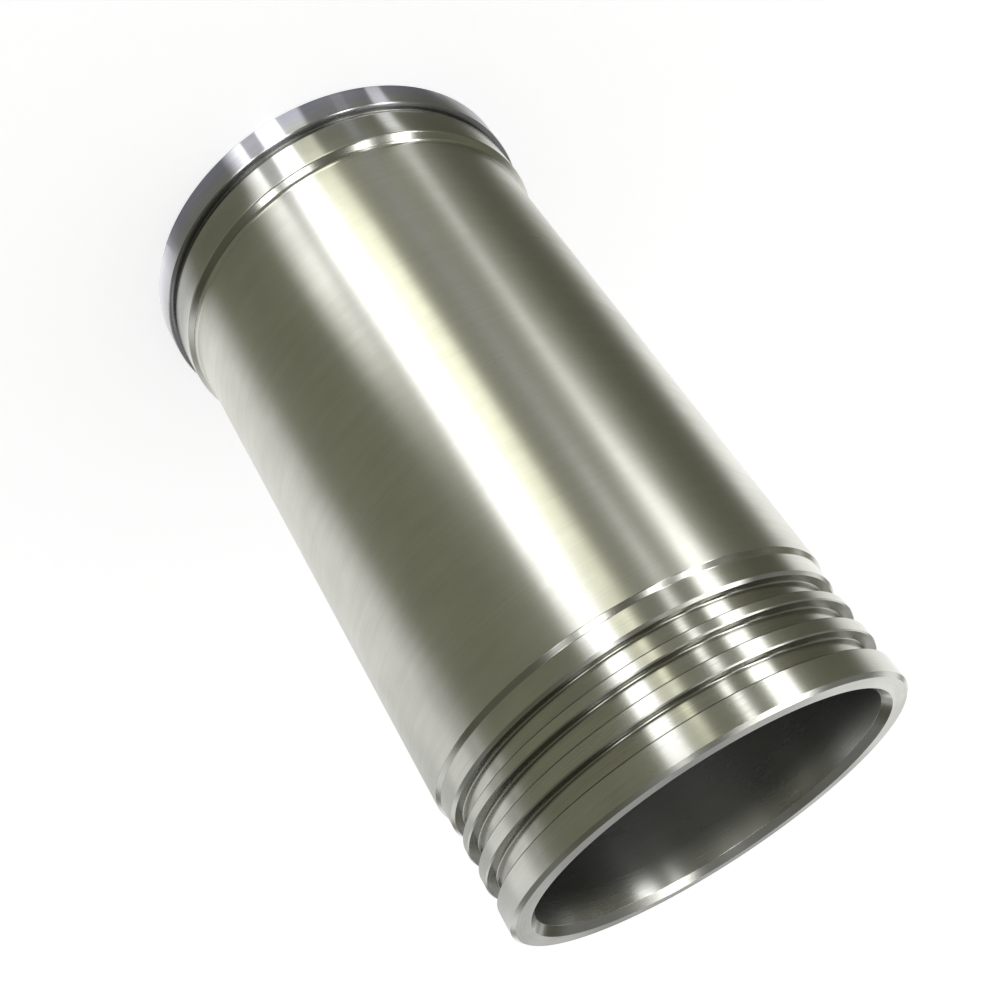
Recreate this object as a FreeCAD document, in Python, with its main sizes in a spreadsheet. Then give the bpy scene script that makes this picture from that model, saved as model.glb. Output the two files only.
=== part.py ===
import FreeCAD, Part
import os
import Sketcher

# Wet cylinder liner: one turned, ground and honed sleeve.
# The fire face of the flange lies on z = 0, Z is the bore axis, and the skirt with its
# three seal ring grooves is at the far end. Lengths are in millimetres.

NODE = "cylinder_liner"

SIZES = [
    ("overall_length", 230.0, "fire face to skirt end"),
    ("bore_dia", 105.0, "honed running bore"),
    ("sleeve_wall", 8.5, "bore to the cooled outside of the body"),
    ("upper_pilot_rise", 2.2, "ground pilot land above the body, on radius"),
    ("upper_pilot_length", 11.4, "length of the upper pilot land"),
    ("pilot_edge_bevel", 0.4, "bevelled lead-in edge of the upper pilot"),
    ("flange_step", 1.6, "flange rim beyond the upper pilot, on radius"),
    ("flange_thickness", 9.0, "fire face to seat"),
    ("rim_bevel", 0.7, "bevel on the seat side of the flange rim"),
    ("fire_face_break", 0.5, "broken edges of the fire face"),
    ("relief_depth", 1.2, "grinding relief under the seat, below the pilot"),
    ("relief_width", 1.2, "seat to the relief's far wall"),
    ("relief_clearance", 0.15, "how far the relief cuts into the seat, both ways"),
    ("upper_shoulder_length", 2.2, "cone from the upper pilot to the body"),
    ("upper_shoulder_blend", 2.5, "round between the cone and the body"),
    ("lower_shoulder_length", 1.7, "cone from the body to the lower pilot"),
    ("lower_pilot_drop", 1.0, "lands around the grooves below the body, on radius"),
    ("first_land_length", 6.1, "lower shoulder to the first groove"),
    ("second_land_length", 3.0, "between the first and second grooves"),
    ("third_land_length", 4.2, "between the second and third grooves"),
    ("last_land_length", 8.1, "third groove to the skirt end"),
    ("ring_groove_width", 5.5, "width of each seal ring groove"),
    ("ring_groove_depth", 3.2, "depth of each seal ring groove"),
    ("ring_groove_break", 0.35, "broken edges of the grooves"),
    ("first_groove_lead", 0.8, "wider bevel on the first groove's body side"),
    ("skirt_chamfer", 1.0, "outside edge of the skirt end"),
    ("bore_lead_in", 2.1, "chamfer at the skirt end of the bore"),
]

FULL_TURN = 360.0
SAME_PLACE = 1e-4


class Measure:
    """A length worked out from the sheet: its value, and the expression that keeps it."""

    def __init__(self, value, text):
        self.value = value
        self.text = text

    def __add__(self, other):
        return Measure(self.value + other.value, f"({self.text} + {other.text})")

    def __sub__(self, other):
        return Measure(self.value - other.value, f"({self.text} - {other.text})")

    def half(self):
        return Measure(self.value / 2, f"({self.text} / 2)")


def make_sheet(document):
    """Writes the driving sizes into the sheet and gives each one as a Measure."""
    sheet = document.addObject("Spreadsheet::Sheet", "Sizes")
    measures = {}
    for row, (name, value, note) in enumerate(SIZES, 1):
        sheet.set(f"A{row}", note)
        sheet.set(f"B{row}", str(value))
        sheet.setAlias(f"B{row}", name)
        measures[name] = Measure(value, f"Sizes.{name}")
    document.recompute()
    return measures


def origin_plane(body, role):
    return next(plane for plane in body.Origin.OriginFeatures if plane.Role == role)


def profile_sketch(body, name, corners):
    """A closed outline in the XZ plane, each corner held by its radius and its height."""
    sketch = body.newObject("Sketcher::SketchObject", name)
    sketch.AttachmentSupport = [(origin_plane(body, "XZ_Plane"), "")]
    sketch.MapMode = "FlatFace"
    points = [FreeCAD.Vector(radius.value, height.value, 0) for radius, height in corners]
    for index, start in enumerate(points):
        end = points[(index + 1) % len(points)]
        sketch.addGeometry(Part.LineSegment(start, end), False)
    for index in range(len(points)):
        following = (index + 1) % len(points)
        sketch.addConstraint(Sketcher.Constraint("Coincident", index, 2, following, 1))
    for index, (radius, height) in enumerate(corners):
        hold(sketch, "DistanceX", index, radius)
        if height.value == 0:
            sketch.addConstraint(Sketcher.Constraint("PointOnObject", index, 1, -1))
        else:
            hold(sketch, "DistanceY", index, height)
    return sketch


def hold(sketch, kind, index, measure):
    """Ties the start of a line to the origin with a distance that the sheet drives."""
    number = sketch.addConstraint(Sketcher.Constraint(kind, -1, 1, index, 1, measure.value))
    sketch.setExpression(f"Constraints[{number}]", measure.text)


def turn(body, kind, name, sketch):
    """Revolves a sketch about the bore axis, as new metal or as a cut."""
    feature = body.newObject(kind, name)
    feature.Profile = sketch
    feature.ReferenceAxis = (sketch, ["V_Axis"])
    feature.Angle = FULL_TURN
    body.Document.recompute()
    return feature


def ring_edges(shape, rings):
    """Names of the circular edges that have these radii and heights."""
    names = []
    for number, edge in enumerate(shape.Edges, 1):
        if not isinstance(edge.Curve, Part.Circle):
            continue
        for radius, height in rings:
            same_radius = abs(edge.Curve.Radius - radius.value) < SAME_PLACE
            same_height = abs(edge.Curve.Center.z - height.value) < SAME_PLACE
            if same_radius and same_height:
                names.append(f"Edge{number}")
    if len(names) != len(rings):
        raise ValueError(f"{len(rings)} ring edges wanted, {len(names)} found")
    return names


def dress(body, kind, name, size_property, measure, rings):
    """Bevels or rounds the named rings of the body as it stands."""
    base = body.Tip
    feature = body.newObject(kind, name)
    feature.Base = (base, ring_edges(base.Shape, rings))
    feature.setExpression(size_property, measure.text)
    body.Document.recompute()
    return feature


def make_liner(document, size):
    """The whole liner: a turned blank, its relief and ring grooves, then its edges."""
    body = document.addObject("PartDesign::Body", "Liner")
    body.Label = NODE

    fire_face = Measure(0.0, "0 mm")
    skirt_end = size["overall_length"]
    bore = size["bore_dia"].half()
    sleeve = bore + size["sleeve_wall"]
    upper_pilot = sleeve + size["upper_pilot_rise"]
    flange = upper_pilot + size["flange_step"]
    lower_pilot = sleeve - size["lower_pilot_drop"]

    # Heights counted up from the fire face.
    seat = size["flange_thickness"]
    relief_end = seat + size["relief_width"]
    pilot_end = relief_end + size["upper_pilot_length"]
    sleeve_start = pilot_end + size["upper_shoulder_length"]

    # Heights counted back from the skirt end.
    width = size["ring_groove_width"]
    third_end = skirt_end - size["last_land_length"]
    third_start = third_end - width
    second_end = third_start - size["third_land_length"]
    second_start = second_end - width
    first_end = second_start - size["second_land_length"]
    first_start = first_end - width
    lands_start = first_start - size["first_land_length"]
    sleeve_end = lands_start - size["lower_shoulder_length"]

    outline = [
        (bore, fire_face),
        (flange, fire_face),
        (flange, seat),
        (upper_pilot, seat),
        (upper_pilot, pilot_end),
        (sleeve, sleeve_start),
        (sleeve, sleeve_end),
        (lower_pilot, lands_start),
        (lower_pilot, skirt_end),
        (bore, skirt_end),
    ]
    turn(body, "PartDesign::Revolution", "Blank", profile_sketch(body, "BlankProfile", outline))

    relief_floor = upper_pilot - size["relief_depth"]
    relief_rim = upper_pilot + size["relief_clearance"]
    relief_start = seat - size["relief_clearance"]
    cuts = [("Relief", relief_floor, relief_rim, relief_start, relief_end)]
    floor = lower_pilot - size["ring_groove_depth"]
    clear = lower_pilot + size["ring_groove_depth"]
    grooves = [
        ("FirstGroove", first_start, first_end),
        ("SecondGroove", second_start, second_end),
        ("ThirdGroove", third_start, third_end),
    ]
    cuts += [(name, floor, clear, start, end) for name, start, end in grooves]
    for name, inner, outer, start, end in cuts:
        volume = body.Tip.Shape.Volume
        section = [(inner, start), (outer, start), (outer, end), (inner, end)]
        turn(body, "PartDesign::Groove", name, profile_sketch(body, name + "Profile", section))
        if body.Tip.Shape.Volume >= volume:
            raise ValueError(f"{name} removed nothing")

    dress(body, "PartDesign::Fillet", "ShoulderBlend", "Radius", size["upper_shoulder_blend"],
          [(sleeve, sleeve_start)])
    dress(body, "PartDesign::Chamfer", "PilotEdge", "Size", size["pilot_edge_bevel"],
          [(upper_pilot, relief_end)])
    dress(body, "PartDesign::Chamfer", "GrooveBreaks", "Size", size["ring_groove_break"],
          [(lower_pilot, end) for name, start, end in grooves]
          + [(lower_pilot, start) for name, start, end in grooves[1:]])
    dress(body, "PartDesign::Chamfer", "GrooveLead", "Size", size["first_groove_lead"],
          [(lower_pilot, first_start)])
    dress(body, "PartDesign::Chamfer", "RimBevel", "Size", size["rim_bevel"], [(flange, seat)])
    dress(body, "PartDesign::Chamfer", "FireFaceBreaks", "Size", size["fire_face_break"],
          [(flange, fire_face), (bore, fire_face)])
    dress(body, "PartDesign::Chamfer", "SkirtChamfer", "Size", size["skirt_chamfer"],
          [(lower_pilot, skirt_end)])
    dress(body, "PartDesign::Chamfer", "BoreLeadIn", "Size", size["bore_lead_in"],
          [(bore, skirt_end)])
    return body


def check(document, body):
    """Stops the build on any failed object or broken shape."""
    for item in document.Objects:
        if "Invalid" in item.State or "Error" in item.State:
            raise ValueError(f"{item.Label}: {item.State}")
    shape = body.Shape
    if shape.isNull() or not shape.isValid() or len(shape.Solids) != 1:
        raise ValueError(f"{body.Label} is not one valid solid")


document = FreeCAD.newDocument("CylinderLiner")
liner = make_liner(document, make_sheet(document))
document.recompute()
check(document, liner)
os.makedirs("parts", exist_ok=True)
liner.Shape.exportStep(f"parts/{liner.Label}.step")
print(liner.Label, "volume", round(liner.Shape.Volume), "faces", len(liner.Shape.Faces))
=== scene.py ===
import math

import bpy
from mathutils import Matrix, Vector


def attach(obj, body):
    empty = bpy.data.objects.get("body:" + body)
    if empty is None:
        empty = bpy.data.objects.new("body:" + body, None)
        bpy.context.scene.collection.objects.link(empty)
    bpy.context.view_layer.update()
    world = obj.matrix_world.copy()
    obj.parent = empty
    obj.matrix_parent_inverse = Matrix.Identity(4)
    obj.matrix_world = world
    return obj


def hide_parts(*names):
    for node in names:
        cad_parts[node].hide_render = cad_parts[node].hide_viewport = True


# A wet cylinder liner standing on the fire face of its flange. Z is the bore axis.
# Lengths in the tables are in millimetres, and the scene is in metres.

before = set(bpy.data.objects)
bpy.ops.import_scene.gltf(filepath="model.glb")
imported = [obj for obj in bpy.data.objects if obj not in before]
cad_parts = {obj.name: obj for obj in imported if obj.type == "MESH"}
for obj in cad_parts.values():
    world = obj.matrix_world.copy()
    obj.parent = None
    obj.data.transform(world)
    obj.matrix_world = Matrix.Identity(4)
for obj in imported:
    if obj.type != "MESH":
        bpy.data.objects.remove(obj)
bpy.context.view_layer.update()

MM = 0.001
NODE = "cylinder_liner"

# ---------------------------------------------------------------- camera

CAMERA_PLACE = Vector((0.0, -0.34033, 0.30613))
CAMERA_DOWN = math.radians(29.1369)
CAMERA_TURN = math.radians(-0.2610)
CAMERA_ROLL = math.radians(146.7747)
SENSOR_WIDTH = 36.0
LENS = 46.667
CLIP_NEAR, CLIP_FAR = 0.01, 100.0


def camera_axes():
    """Right, up and forward of the camera, which hangs nearly upside down over the liner."""
    forward = Vector((-math.cos(CAMERA_DOWN) * math.sin(CAMERA_TURN),
                      math.cos(CAMERA_DOWN) * math.cos(CAMERA_TURN),
                      -math.sin(CAMERA_DOWN)))
    level = forward.cross(Vector((0, 0, 1))).normalized()
    steep = level.cross(forward)
    right = math.cos(CAMERA_ROLL) * level + math.sin(CAMERA_ROLL) * steep
    up = -math.sin(CAMERA_ROLL) * level + math.cos(CAMERA_ROLL) * steep
    return right, up, forward


def make_camera():
    right, up, forward = camera_axes()
    data = bpy.data.cameras.new("camera")
    data.sensor_width = SENSOR_WIDTH
    data.lens = LENS
    data.clip_start = CLIP_NEAR
    data.clip_end = CLIP_FAR
    camera = bpy.data.objects.new("camera", data)
    bpy.context.scene.collection.objects.link(camera)
    turn = Matrix((right, up, -forward)).transposed().to_4x4()
    camera.matrix_world = Matrix.Translation(CAMERA_PLACE) @ turn
    bpy.context.scene.camera = camera


# ---------------------------------------------------------------- node helpers

def new_material(name):
    material = bpy.data.materials.new(name)
    material.use_nodes = True
    material.node_tree.nodes.clear()
    return material, material.node_tree


def add(tree, kind, values=None, **settings):
    """A node with its settings, and its inputs given as values or as links from other sockets."""
    node = tree.nodes.new(kind)
    for key, value in settings.items():
        setattr(node, key, value)
    for key, value in (values or {}).items():
        if isinstance(value, bpy.types.NodeSocket):
            tree.links.new(value, node.inputs[key])
        else:
            node.inputs[key].default_value = value
    return node


def math_node(tree, operation, a, b=0.0):
    return add(tree, "ShaderNodeMath", {0: a, 1: b}, operation=operation).outputs[0]


def map_range(tree, value, low, high, to_low, to_high, kind="SMOOTHSTEP"):
    inputs = {"Value": value, "From Min": low, "From Max": high, "To Min": to_low, "To Max": to_high}
    return add(tree, "ShaderNodeMapRange", inputs, interpolation_type=kind).outputs["Result"]


def mix_colour(tree, factor, a, b):
    """The Mix node's colour sockets are its numbers 6 and 7, and its colour output is number 2."""
    return add(tree, "ShaderNodeMix", {0: factor, 6: a, 7: b}, data_type="RGBA").outputs[2]


# ---------------------------------------------------------------- liner section

# Each corner of the section: radius, height, its bevel or round ("b" or "r") and the size of
# that, and the face that follows it. It goes up the outside and back down the bore.
SECTION = [
    (64.80, 0.00, "b", 0.10, "rim"),
    (64.80, 9.00, "b", 0.25, "seat"),
    (63.35, 9.00, None, 0, "relief"),
    (63.35, 8.85, None, 0, "relief"),
    (62.00, 8.85, "r", 0.30, "relief"),
    (62.00, 10.50, "r", 0.30, "relief"),
    (63.20, 10.50, "r", 1.00, "pilot"),
    (63.20, 21.60, "r", 1.00, "shoulder"),
    (61.00, 23.80, "r", 2.50, "body"),
    (61.00, 190.50, "r", 0.40, "shoulder"),
    (60.00, 191.85, "r", 0.40, "land"),
    (60.00, 198.20, "b", 0.80, "wall"),
    (56.80, 198.20, "r", 0.50, "groove"),
    (56.80, 203.70, "r", 0.50, "wall"),
    (60.00, 203.70, "b", 0.35, "land"),
    (60.00, 206.70, "b", 0.35, "wall"),
    (56.80, 206.70, "r", 0.50, "groove"),
    (56.80, 212.20, "r", 0.50, "wall"),
    (60.00, 212.20, "b", 0.35, "land"),
    (60.00, 216.40, "b", 0.35, "wall"),
    (56.80, 216.40, "r", 0.50, "groove"),
    (56.80, 221.90, "r", 0.50, "wall"),
    (60.00, 221.90, "b", 0.35, "land"),
    (60.00, 230.00, "b", 1.00, "end"),
    (54.60, 230.00, None, 0, "lead"),
    (52.50, 227.90, "r", 0.20, "lip"),
    (52.50, 219.00, None, 0, "bore"),
    (52.50, 0.00, "b", 0.50, "face"),
]
ROUND_STEPS = 6
AROUND = 360

# A run longer than this is split, and the normals of the lip lean by this much at its outer end.
LONG_RUN = 12.0
LIP_LEAN = math.radians(11.5)

# The metal of each face, bevel ("edge") and round.
FINISH_OF = {
    "rim": "rim", "seat": "rim", "relief": "relief", "pilot": "pilot", "shoulder": "shoulder",
    "body": "body", "land": "land", "wall": "wall", "groove": "groove", "end": "end",
    "lead": "lead", "lip": "bore", "bore": "bore", "face": "end", "edge": "land",
    "edge_bore": "bore", "round_relief": "relief", "round_pilot": "pilot",
    "round_shoulder": "shoulder", "round_body": "shoulder", "round_land": "shoulder",
    "round_groove": "groove", "round_wall": "groove", "round_lip": "lead",
}

# Material name, colours of the high and low marks, roughness, anisotropy, pitch and depth of
# the marks in millimetres, and how much they change the roughness.
METALS = {
    "body": ("ground_body", (0.60, 0.60, 0.565), (0.52, 0.52, 0.485), 0.30, 0.75, 0.35, 0.0010, 0.10),
    "land": ("ground_land", (0.58, 0.58, 0.55), (0.49, 0.49, 0.46), 0.20, 0.60, 0.30, 0.0010, 0.12),
    "shoulder": ("turned_shoulder", (0.58, 0.58, 0.55), (0.49, 0.49, 0.46),
                 0.19, 0.60, 0.30, 0.0008, 0.12),
    "pilot": ("ground_pilot", (0.56, 0.56, 0.55), (0.48, 0.48, 0.47), 0.21, 0.60, 0.30, 0.0010, 0.12),
    "rim": ("ground_rim", (0.60, 0.60, 0.66), (0.50, 0.50, 0.56), 0.22, 0.60, 0.30, 0.0010, 0.12),
    # The relief undercut's metal is much darker than the other faces: painted shade in the recess under
    # the pilot.
    "relief": ("turned_relief_painted_shade", (0.36, 0.36, 0.35), (0.28, 0.28, 0.27), 0.26, 0.50, 0.60, 0.0002, 0.15),
    "groove": ("turned_groove", (0.53, 0.53, 0.49), (0.43, 0.43, 0.40), 0.17, 0.50, 0.60, 0.0002, 0.10),
    # The groove walls are darker than the lands and groove floors: painted shade inside the grooves.
    "wall": ("turned_wall_painted_shade", (0.32, 0.32, 0.29), (0.25, 0.25, 0.22), 0.24, 0.50, 0.60, 0.0001, 0.10),
    "end": ("turned_end", (0.62, 0.62, 0.60), (0.54, 0.54, 0.52), 0.20, 0.60, 0.25, 0.0012, 0.12),
    "lead": ("turned_lead", (0.50, 0.50, 0.48), (0.42, 0.42, 0.40), 0.20, 0.50, 0.25, 0.0006, 0.12),
    "bore": ("honed_bore", (0.49, 0.49, 0.48), (0.41, 0.41, 0.40), 0.28, 0.65, 0.30, 0.0003, 0.05),
}
FINISHES = list(METALS)


def corner_cut(before, here, after, kind, size):
    """The points that replace a corner, each with the centre of its round, if it has one."""
    if kind is None:
        return [(here, None)]
    back = (before - here).normalized()
    ahead = (after - here).normalized()
    if kind == "b":
        return [(here + back * size, None), (here + ahead * size, None)]
    half = back.angle(ahead) / 2
    reach = size / math.tan(half)
    centre = here + (back + ahead).normalized() * (size / math.sin(half))
    start, end = here + back * reach - centre, here + ahead * reach - centre
    sweep = start.angle_signed(end)
    turns = [Matrix.Rotation(-sweep * step / ROUND_STEPS, 2) for step in range(ROUND_STEPS + 1)]
    return [(centre + turn @ start, centre) for turn in turns]


def section_runs():
    """Straight runs of the section: start, end, the centre of its round or None, and its face."""
    count = len(SECTION)
    points = [Vector(corner[:2]) for corner in SECTION]
    cuts = []
    for i, (_, _, kind, size, _) in enumerate(SECTION):
        cuts.append(corner_cut(points[i - 1], points[i], points[(i + 1) % count], kind, size))
    runs = []
    for i, (_, _, kind, _, face) in enumerate(SECTION):
        if kind == "r":
            corner_face = "round_" + face
        else:
            corner_face = "edge_bore" if "bore" in (face, SECTION[i - 1][4]) else "edge"
        for (start, centre), (end, _) in zip(cuts[i], cuts[i][1:]):
            runs.append((start, end, centre, corner_face))
        runs.append((cuts[i][-1][0], cuts[(i + 1) % count][0][0], None, face))
    return runs


def out_of(run):
    """Normals at the two ends of a run, pointing out of the metal. The lip's lean outwards."""
    start, end, centre, face = run
    along = (end - start).normalized()
    flat = Vector((along.y, -along.x))
    if face == "lip":
        return (flat + along * -math.tan(LIP_LEAN)).normalized(), flat
    if centre is None:
        return flat, flat
    normals = []
    for point in (start, end):
        normal = (point - centre).normalized()
        normals.append(normal if normal.dot(flat) > 0 else -normal)
    return normals


def make_liner(materials):
    """Turns the section about Z, with the normals of the true surface at every corner."""
    runs = []
    for start, end, centre, face in section_runs():
        pieces = max(1, round((end - start).length / LONG_RUN))
        for piece in range(pieces):
            a = start.lerp(end, piece / pieces)
            b = start.lerp(end, (piece + 1) / pieces)
            runs.append((a, b, centre, face))
    ring = len(runs)
    vertices = []
    for step in range(AROUND):
        angle = 2 * math.pi * step / AROUND
        for run in runs:
            radius, height = run[0].x * MM, run[0].y * MM
            vertices.append((radius * math.sin(angle), -radius * math.cos(angle), height))
    faces, normals, slots = [], [], []
    for step in range(AROUND):
        turns = [2 * math.pi * s / AROUND for s in (step, step + 1)]
        here, there = step * ring, (step + 1) % AROUND * ring
        for index, run in enumerate(runs):
            after = (index + 1) % ring
            faces.append((here + index, there + index, there + after, here + after))
            first, last = out_of(run)
            for normal, turn in ((first, 0), (first, 1), (last, 1), (last, 0)):
                angle = turns[turn]
                normals.append((normal.x * math.sin(angle), -normal.x * math.cos(angle), normal.y))
            slots.append(FINISHES.index(FINISH_OF[run[3]]))
    mesh = bpy.data.meshes.new("liner")
    mesh.from_pydata(vertices, [], faces)
    for material in materials:
        mesh.materials.append(material)
    mesh.polygons.foreach_set("material_index", slots)
    mesh.polygons.foreach_set("use_smooth", [True] * len(faces))
    mesh.normals_split_custom_set(normals)
    mesh.update()
    liner = bpy.data.objects.new("liner", mesh)
    bpy.context.scene.collection.objects.link(liner)
    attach(liner, "root")
    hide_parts(NODE)


# ---------------------------------------------------------------- metal

# The marks are fine lines and broad bands round the axis, over soft clouds.
FINE_STRETCH = 0.02
BROAD_STRETCH = 0.05
BROAD_PITCH = 9
CLOUD_SCALE = 55.0
FINE_SHARE, BROAD_SHARE, CLOUD_SHARE = 0.35, 0.25, 0.40
COLOUR_TONES = (0.32, 0.68)
ROUGH_TONES = (0.3, 0.7)
QUARTER_TURN = 0.25


def machined_metal(name, colour, shade, roughness, anisotropy, line_pitch, line_depth, mottle):
    """Ground or turned iron. Its marks run round the axis, so light spreads across them."""
    material, tree = new_material(name)
    place = add(tree, "ShaderNodeTexCoord").outputs["Object"]
    split = add(tree, "ShaderNodeSeparateXYZ", {0: place})
    x, y, z = split.outputs[0], split.outputs[1], split.outputs[2]
    radius = math_node(tree, "SQRT", math_node(tree, "ADD", math_node(tree, "MULTIPLY", x, x),
                                               math_node(tree, "MULTIPLY", y, y)))
    along = math_node(tree, "ADD", z, radius)

    def round_marks(pitch, stretch):
        """A coordinate that changes fast along the section and slowly round the axis."""
        return add(tree, "ShaderNodeCombineXYZ", {
            0: math_node(tree, "MULTIPLY", x, stretch / MM),
            1: math_node(tree, "MULTIPLY", y, stretch / MM),
            2: math_node(tree, "MULTIPLY", along, 1 / (pitch * MM)),
        }).outputs[0]

    fine = add(tree, "ShaderNodeTexNoise", {
        "Vector": round_marks(line_pitch, FINE_STRETCH), "Scale": 1.0, "Detail": 3.0, "Roughness": 0.6})
    broad = add(tree, "ShaderNodeTexNoise", {
        "Vector": round_marks(line_pitch * BROAD_PITCH, BROAD_STRETCH), "Scale": 1.0, "Detail": 2.0,
        "Roughness": 0.5})
    cloud = add(tree, "ShaderNodeTexNoise", {
        "Vector": place, "Scale": CLOUD_SCALE, "Detail": 4.0, "Roughness": 0.55})
    tone = math_node(tree, "ADD",
                     math_node(tree, "MULTIPLY", fine.outputs[0], FINE_SHARE),
                     math_node(tree, "ADD",
                               math_node(tree, "MULTIPLY", broad.outputs[0], BROAD_SHARE),
                               math_node(tree, "MULTIPLY", cloud.outputs[0], CLOUD_SHARE)))
    level = map_range(tree, tone, *COLOUR_TONES, 0.0, 1.0)
    base = mix_colour(tree, level, (*shade, 1), (*colour, 1))
    rough = map_range(tree, tone, *ROUGH_TONES, roughness * (1 + mottle), roughness * (1 - mottle))
    bump = add(tree, "ShaderNodeBump", {
        "Strength": 1.0, "Distance": line_depth * MM, "Height": fine.outputs[0]})
    tangent = add(tree, "ShaderNodeTangent", direction_type="RADIAL", axis="Z")
    shader = add(tree, "ShaderNodeBsdfPrincipled", {
        "Base Color": base, "Metallic": 1.0, "Roughness": rough, "Anisotropic": anisotropy,
        "Anisotropic Rotation": QUARTER_TURN, "Normal": bump.outputs[0], "Tangent": tangent.outputs[0]})
    output = add(tree, "ShaderNodeOutputMaterial")
    tree.links.new(shader.outputs[0], output.inputs[0])
    return material


def make_metals():
    return [machined_metal(*METALS[finish]) for finish in FINISHES]


# ---------------------------------------------------------------- floor, world and lights

FLOOR_HALF = 30.0
FLOOR_GREY = 0.80
FLOOR_GLOW = 0.53
WORLD_LIGHT = 0.62
WORLD_SEEN = 1.0


def bright_rays(tree):
    """1 for the rays that show the background: the camera's, and those off metal or glass."""
    path = add(tree, "ShaderNodeLightPath")
    seen = math_node(tree, "MAXIMUM", path.outputs["Is Camera Ray"], path.outputs["Is Glossy Ray"])
    return math_node(tree, "MAXIMUM", seen, path.outputs["Is Transmission Ray"])


def make_floor():
    material, tree = new_material("pale_floor")
    pale = add(tree, "ShaderNodeBsdfDiffuse", {"Color": (FLOOR_GREY, FLOOR_GREY, FLOOR_GREY, 1)})
    strength = math_node(tree, "MULTIPLY", bright_rays(tree), FLOOR_GLOW)
    glow = add(tree, "ShaderNodeEmission", {"Color": (1, 1, 1, 1), "Strength": strength})
    both = add(tree, "ShaderNodeAddShader", {0: pale.outputs[0], 1: glow.outputs[0]})
    output = add(tree, "ShaderNodeOutputMaterial")
    tree.links.new(both.outputs[0], output.inputs[0])
    material.cycles.emission_sampling = "NONE"
    mesh = bpy.data.meshes.new("floor")
    s = FLOOR_HALF
    mesh.from_pydata([(-s, -s, 0), (s, -s, 0), (s, s, 0), (-s, s, 0)], [], [(0, 1, 2, 3)])
    mesh.materials.append(material)
    floor = bpy.data.objects.new("floor", mesh)
    bpy.context.scene.collection.objects.link(floor)


def make_world():
    world = bpy.data.worlds.new("studio")
    world.use_nodes = True
    tree = world.node_tree
    tree.nodes.clear()
    strength = map_range(tree, bright_rays(tree), 0.0, 1.0, WORLD_LIGHT, WORLD_SEEN, "LINEAR")
    sky = add(tree, "ShaderNodeBackground", {"Color": (1, 1, 1, 1), "Strength": strength})
    output = add(tree, "ShaderNodeOutputWorld")
    tree.links.new(sky.outputs[0], output.inputs[0])
    bpy.context.scene.world = world


# A panel is set by the stretch of the liner's wall that mirrors it towards the camera: rows of
# a height on the wall, the azimuths of the panel's two sides in degrees, and its brightness.
# It lies on the floor, and a tall one goes on up the surround. Only metal sees it.
MIRROR_RADIUS = 61.0
SURROUND = 2.0
SURROUND_PER_LIFT = 400
DOME_CENTRE = Vector((0.0, 0.0, 0.1))
BACK_NEAR, BACK_FAR = 0.1, 1.9
ROW_STEP, DOME_STEP, BACK_STEP = 6.0, 4.0, 0.3
PANEL_COLUMNS, LAMP_COLUMNS = 24, 8

# The flange rim is bluer than the rest, so warm floor panels turn blue where it mirrors them.
WARM_BELOW = 0.9
RIM_BLUE = 1.04
RIM_TOP, RIM_FADE = 7.0, 4.0


def mirrored(azimuth, height):
    """Where a ray from the camera goes after the wall: start, and its direction."""
    a = math.radians(azimuth)
    normal = Vector((math.sin(a), -math.cos(a), 0))
    start = normal * MIRROR_RADIUS * MM + Vector((0, 0, height * MM))
    look = (start - CAMERA_PLACE).normalized()
    return start, look - 2 * look.dot(normal) * normal


def on_floor(azimuth, height, lift):
    start, way = mirrored(azimuth, height)
    return start + way * ((start.z - lift) / -way.z)


def on_surround(azimuth, height, reach, level):
    """The point at that level of the surround, straight out from where the wall mirrors."""
    start, way = mirrored(azimuth, height)
    flat = Vector((way.x, way.y, 0)).normalized()
    start.z = 0
    along = start.dot(flat)
    point = start + flat * (-along + math.sqrt(along ** 2 - start.length_squared + reach ** 2))
    point.z = level
    return point


def on_dome(azimuth, elevation, reach):
    a, e = math.radians(azimuth), math.radians(elevation)
    flat = Vector((math.sin(a), -math.cos(a), 0)) * math.cos(e)
    return DOME_CENTRE + (flat + Vector((0, 0, math.sin(e)))) * reach


def smooth(t):
    t = min(max(t, 0.0), 1.0)
    return t * t * (3 - 2 * t)


def between(knots, height):
    """Sides and brightness of a panel at a height, from the knots below and above it."""
    for low, high in zip(knots, knots[1:]):
        if height <= high[0]:
            t = (height - low[0]) / (high[0] - low[0])
            return [a + (b - a) * t for a, b in zip(low[1:], high[1:])]
    return list(knots[-1][1:])


def panel_metal_sees(name, sampled):
    """Each vertex of a panel says how bright it is and how much it covers what is behind it."""
    material, tree = new_material(name)
    glow = add(tree, "ShaderNodeAttribute", attribute_name="glow").outputs["Color"]
    cover = add(tree, "ShaderNodeAttribute", attribute_name="cover").outputs["Fac"]
    light = add(tree, "ShaderNodeEmission", {"Color": glow, "Strength": 1.0})
    clear = add(tree, "ShaderNodeBsdfTransparent")
    both = add(tree, "ShaderNodeMixShader", {0: cover, 1: clear.outputs[0], 2: light.outputs[0]})
    output = add(tree, "ShaderNodeOutputMaterial")
    tree.links.new(both.outputs[0], output.inputs[0])
    if not sampled:
        material.cycles.emission_sampling = "NONE"
    return material


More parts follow.
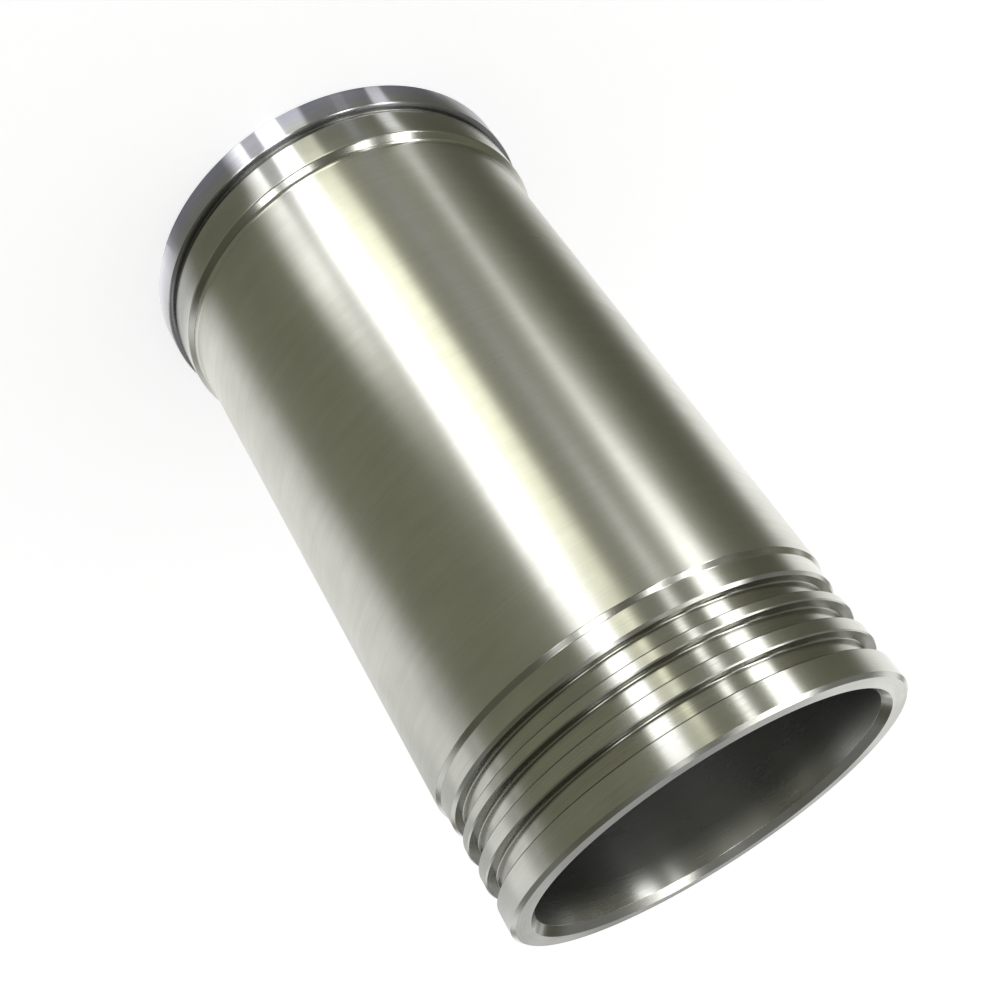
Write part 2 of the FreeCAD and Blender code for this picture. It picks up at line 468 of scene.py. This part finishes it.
def hang_panel(name, material, colour, fade, knots, rows, place, columns):
    """A panel through the points that place gives for its rows and columns.

    fade is how many degrees of its left and right sides, and how much of its ends, fade.
    """
    left_fade, right_fade, low_fade, high_fade = fade
    low, high = knots[0][0], knots[-1][0]
    vertices, glow, cover = [], [], []
    for height, extra in rows:
        left, right, power = between(knots, height)
        red, green, blue = colour
        if extra is None and blue < WARM_BELOW:
            blue += (RIM_BLUE - blue) * (1 - smooth((height - RIM_TOP) / RIM_FADE))
        for column in range(columns + 1):
            azimuth = left + (right - left) * column / columns
            vertices.append(place(azimuth, height, extra))
            share = smooth((azimuth - left) / left_fade) if left_fade else 1.0
            share *= smooth((right - azimuth) / right_fade) if right_fade else 1.0
            share *= smooth((height - low) / low_fade) if low_fade else 1.0
            share *= smooth((high - height) / high_fade) if high_fade else 1.0
            cover.append(share)
            glow.extend((red * power, green * power, blue * power, 1.0))
    wide = columns + 1
    faces = [(i, i + 1, i + wide + 1, i + wide)
             for row in range(len(rows) - 1) for i in range(row * wide, row * wide + columns)]
    mesh = bpy.data.meshes.new(name)
    mesh.from_pydata(vertices, [], faces)
    mesh.attributes.new("glow", "FLOAT_COLOR", "POINT").data.foreach_set("color", glow)
    mesh.attributes.new("cover", "FLOAT", "POINT").data.foreach_set("value", cover)
    mesh.materials.append(material)
    panel = bpy.data.objects.new(name, mesh)
    panel.visible_camera = False
    panel.visible_diffuse = False
    panel.visible_shadow = False
    bpy.context.scene.collection.objects.link(panel)


def steps_between(low, high, step):
    count = max(2, math.ceil((high - low) / step))
    return [low + (high - low) * i / count for i in range(count + 1)]


def make_panel(material, name, colour, lift, fade, knots, upright=()):
    """A panel on the floor. A higher lift is in front of a lower one, up the surround too."""
    rows = [(height, None) for height in steps_between(knots[0][0], knots[-1][0], ROW_STEP)]
    rows += [(knots[-1][0], level) for level in (lift, *upright) if upright]
    reach = SURROUND - SURROUND_PER_LIFT * lift

    def place(azimuth, height, level):
        if level is None:
            return on_floor(azimuth, height, lift)
        return on_surround(azimuth, height, reach, level)

    hang_panel(name, material, colour, fade, knots, rows, place, PANEL_COLUMNS)


def make_high_panel(material, name, colour, reach, fade, knots, columns=PANEL_COLUMNS):
    """A panel on a dome. Its knots are elevation, azimuths seen from the dome's centre, power."""
    steps = steps_between(knots[0][0], knots[-1][0], DOME_STEP)
    rows = [(elevation, reach) for elevation in steps]
    hang_panel(name, material, colour, fade, knots, rows, on_dome, columns)


def make_back_panel(material, name, colour, lift, fade, left, right, power):
    """A panel on the floor behind the liner, out to the surround."""
    knots = [(BACK_NEAR, left, right, power), (BACK_FAR, left, right, power)]

    def place(azimuth, distance, level):
        a = math.radians(azimuth)
        return Vector((math.sin(a) * distance, -math.cos(a) * distance, level))

    rows = [(distance, lift) for distance in steps_between(BACK_NEAR, BACK_FAR, BACK_STEP)]
    hang_panel(name, material, colour, fade, knots, rows, place, PANEL_COLUMNS)


# Levels of the rows that go up the surround, in metres, and the colours of the panels.
SIDE_LEVELS = (1.0, 2.0)
CARD_LEVELS = (1.0, 2.0, 3.0)
LIGHT_LEVELS = (0.4, 0.8, 1.2, 1.6, 2.0, 2.6)
DIM = (1.0, 1.0, 0.72)
WARM = (1.0, 1.0, 0.80)
WHITE = (1.0, 1.0, 0.97)


def make_panels():
    card = panel_metal_sees("panel", False)
    make_panel(card, "white_left", WHITE, 0.00010, (16, 0, 0, 0),
               [(1, -88, -50, 0.62), (12, -88, -50, 0.66), (16, -88, -60, 1.00), (30, -88, -58, 1.20),
                (60, -88, -58, 1.18), (185, -88, -56, 1.40), (197, -88, -56, 1.15),
                (229, -88, -56, 1.12)], SIDE_LEVELS)
    make_panel(card, "white_right", WHITE, 0.00010, (0, 8, 0, 0),
               [(1, 40, 88, 1.35), (11.5, 40, 88, 1.35), (14, 40, 88, 0.62), (21, 40, 88, 0.62),
                (26, 40, 88, 1.26), (60, 40, 88, 1.06), (90, 40, 88, 1.12), (120, 40, 88, 1.05),
                (150, 40, 88, 1.05), (183, 40, 88, 0.86), (195, 40, 88, 0.62), (229, 40, 88, 0.60)])
    make_panel(card, "pale_right", WHITE, 0.00012, (3, 5, 8, 0),
               [(182, 42, 58, 0.98), (229, 42, 58, 1.02)])
    make_panel(card, "dark_front", DIM, 0.00014, (14, 11, 0, 0),
               [(1, -56.5, 45, 0.24), (11.5, -57.5, 45.5, 0.24), (14, -69, 47, 0.20),
                (21, -69, 48.5, 0.17), (30, -68.5, 49.5, 0.23), (60, -69.8, 50, 0.23),
                (90, -69.5, 49.5, 0.235), (120, -68.2, 48.5, 0.24), (150, -66, 47.5, 0.24),
                (180, -63, 45, 0.24), (229, -64, 46, 0.22)], CARD_LEVELS)
    make_panel(card, "dark_left", DIM, 0.00016, (8, 12, 0, 0),
               [(1, -51, -32, 0.16), (11.5, -52, -32, 0.16), (14, -62, -32, 0.12),
                (229, -59, -32, 0.12)])
    make_panel(card, "grey_front", WARM, 0.00018, (5, 2, 0, 0),
               [(1, -28, -8, 0.30), (11.5, -28, -8, 0.30), (14, -28, -8, 0.25), (21, -28, -8, 0.25),
                (26, -28, -8, 0.37), (60, -28, -8, 0.33), (90, -28, -8, 0.30), (150, -28, -8, 0.25),
                (190, -26, -8, 0.25), (229, -26, -8, 0.28)])
    make_panel(card, "light_yellow", WARM, 0.00020, (1.6, 0, 0, 0),
               [(1, -11.3, -4.2, 0.85), (14, -11.0, -4.2, 0.95), (20, -11.0, -4.2, 1.0),
                (30, -11.4, -4.4, 1.5), (60, -12.0, -4.4, 2.1), (120, -11.4, -4.4, 2.2),
                (180, -10.6, -4.2, 2.1), (195, -9.9, -4.0, 0.85), (229, -9.9, -4.0, 0.95)])
    make_panel(card, "light_amber", WARM, 0.00021, (0.8, 0.8, 8, 0),
               [(186, -9.2, -6.8, 1.5), (229, -9.6, -6.8, 2.3)])
    make_panel(card, "grey_gap", WHITE, 0.00020, (0, 0, 0, 4),
               [(1, 2.0, 8.0, 0.80), (18, 2.0, 8.0, 0.62), (30, 2.0, 8.0, 0.8), (93, 2.0, 8.0, 1.3)])
    make_panel(card, "light_main", (1, 1, 1), 0.00024, (0.8, 1.2, 0, 0),
               [(1, -4.4, 2.5, 3.5), (20, -4.4, 2.3, 3.5), (30, -4.6, 3.0, 3.5),
                (60, -4.6, 3.6, 3.5), (120, -4.6, 2.9, 3.5), (150, -4.6, 4.1, 3.5),
                (180, -4.6, 5.3, 3.5), (195, -3.9, 1.8, 3.5), (229, -4.0, 2.9, 3.5)])
    make_panel(card, "light_low", WHITE, 0.00024, (0.8, 8.0, 0, 4),
               [(1, 6.2, 14.0, 2.3), (20, 6.2, 13.4, 2.4), (30, 6.0, 16.4, 1.6), (60, 6.0, 16.2, 1.9),
                (93, 6.0, 16.5, 3.0)])
    make_panel(card, "light_faint", WHITE, 0.00024, (0.8, 0.8, 0, 0),
               [(1, -22.5, -18.5, 0.38), (150, -21.5, -17.5, 0.38), (184, -20.0, -17.4, 0.42),
                (191, -19.8, -17.0, 2.4), (229, -19.8, -17.1, 3.0)], LIGHT_LEVELS)
    make_panel(card, "light_side", WHITE, 0.00024, (1.4, 1.0, 0, 0),
               [(1, -33.0, -28.0, 0.78), (11.5, -33.3, -28.0, 0.80), (14, -33.6, -28.0, 1.25),
                (20, -33.8, -28.8, 1.35), (30, -34.6, -30.2, 1.35), (60, -33.6, -29.6, 1.05),
                (90, -32.4, -28.4, 1.02), (150, -30.6, -27.2, 1.8), (185, -30.8, -26.9, 2.6),
                (195, -32.6, -25.4, 3.0), (229, -32.0, -24.7, 3.0)], LIGHT_LEVELS)
    make_high_panel(card, "dark_high", (1, 1, 0.95), 1.80, (0, 0, 8, 0),
                    [(20, -180, 180, 0.25), (89, -180, 180, 0.25)])
    make_high_panel(card, "dark_low_left", DIM, 1.82, (8, 8, 3, 6),
                    [(-2, -132, -84, 0.20), (26, -132, -84, 0.20)])
    make_high_panel(card, "dark_level_left", DIM, 1.84, (8, 8, 2, 4),
                    [(-1, -158, -110, 0.20), (11, -158, -110, 0.20)])
    make_high_panel(card, "dark_level_right", DIM, 1.84, (8, 8, 2, 4),
                    [(-1, 60, 158, 0.20), (11, 60, 158, 0.20)])
    make_high_panel(card, "dark_high_right", DIM, 1.78, (10, 14, 10, 10),
                    [(12, 24, 104, 0.05), (24, 24, 104, 0.05), (32, 24, 104, 0.13),
                     (74, 24, 104, 0.13)])
    make_high_panel(card, "dark_high_left", DIM, 1.78, (12, 5, 10, 10),
                    [(14, -112, -8, 0.11), (74, -112, -8, 0.11)])
    make_high_panel(card, "grey_behind", (1, 1, 0.98), 1.76, (3, 3, 3, 8),
                    [(2, 166, 194, 1.25), (11.5, 166, 194, 1.05), (13.5, 166, 194, 0.44),
                     (36, 166, 194, 0.24)])
    make_high_panel(card, "white_behind", WHITE, 1.74, (2, 2, 3, 6),
                    [(2, 187.5, 195, 0.60), (11.3, 187.5, 195, 0.66), (13, 186.4, 195, 1.28),
                     (24, 186.0, 195, 1.30)])
    make_high_panel(card, "pale_left_behind", WHITE, 1.75, (1, 1, 3, 6),
                    [(12.0, 182.8, 188, 0.86), (24, 182.8, 188, 0.86)])
    make_high_panel(card, "pale_behind", WHITE, 1.74, (2, 1.5, 3, 6),
                    [(2, 166, 172.0, 0.78), (24, 166, 172.0, 0.78)])
    make_high_panel(card, "dark_beside_right", DIM, 1.73, (4, 2, 3, 5),
                    [(8, 146, 167.5, 0.10), (32, 146, 167.5, 0.10)])
    make_high_panel(card, "dark_beside_left", DIM, 1.73, (2, 4, 3, 5),
                    [(8, 192.5, 214, 0.10), (32, 192.5, 214, 0.10)])
    make_high_panel(card, "dark_low_beside_right", DIM, 1.72, (3, 1, 0, 3),
                    [(-3, 162, 173.5, 0.15), (13.5, 162, 173.5, 0.15)])
    make_high_panel(card, "dark_low_beside_left", DIM, 1.72, (1, 3, 0, 3),
                    [(-3, 186, 198, 0.15), (15, 186, 198, 0.15)])
    make_back_panel(card, "dark_back", DIM, 0.00010, (4, 4, 0, 0), 166, 194, 0.25)
    make_back_panel(card, "light_back", WHITE, 0.00012, (1, 1, 0, 0), 176, 183, 3.0)
    lamp = panel_metal_sees("lamp", True)
    make_high_panel(lamp, "lamp_left", WHITE, 1.70, (2, 2, 3, 4),
                    [(38, -98, -87, 3.0), (60, -98, -78, 6.5), (76, -90, -62, 6.5)], LAMP_COLUMNS)
    make_high_panel(lamp, "lamp_side", WHITE, 1.70, (2, 2, 3, 4),
                    [(24, -70, -60, 6.0), (56, -70, -60, 6.0)], LAMP_COLUMNS)
    make_high_panel(lamp, "lamp_faint", WHITE, 1.70, (2, 2, 3, 4),
                    [(24, -47, -39, 6.0), (58, -47, -39, 6.0)], LAMP_COLUMNS)
    make_high_panel(lamp, "lamp_front", WHITE, 1.70, (1, 1, 3, 4),
                    [(33, 13, 25, 6.0), (47, 13, 25, 6.0)], LAMP_COLUMNS)
    make_high_panel(lamp, "lamp_top", WHITE, 1.70, (1, 1, 3, 6),
                    [(34, -11, 6, 6.0), (58, -11, 6, 5.5), (74, -11, 6, 3.0)], LAMP_COLUMNS)
    make_high_panel(lamp, "lamp_bore", WHITE, 1.70, (2, 2, 1, 2),
                    [(0.5, -68, -54, 18.0), (9.0, -68, -54, 18.0)], LAMP_COLUMNS)


make_camera()
make_floor()
make_world()
make_panels()
make_liner(make_metals())

scene = bpy.context.scene
scene.view_settings.view_transform = "Standard"
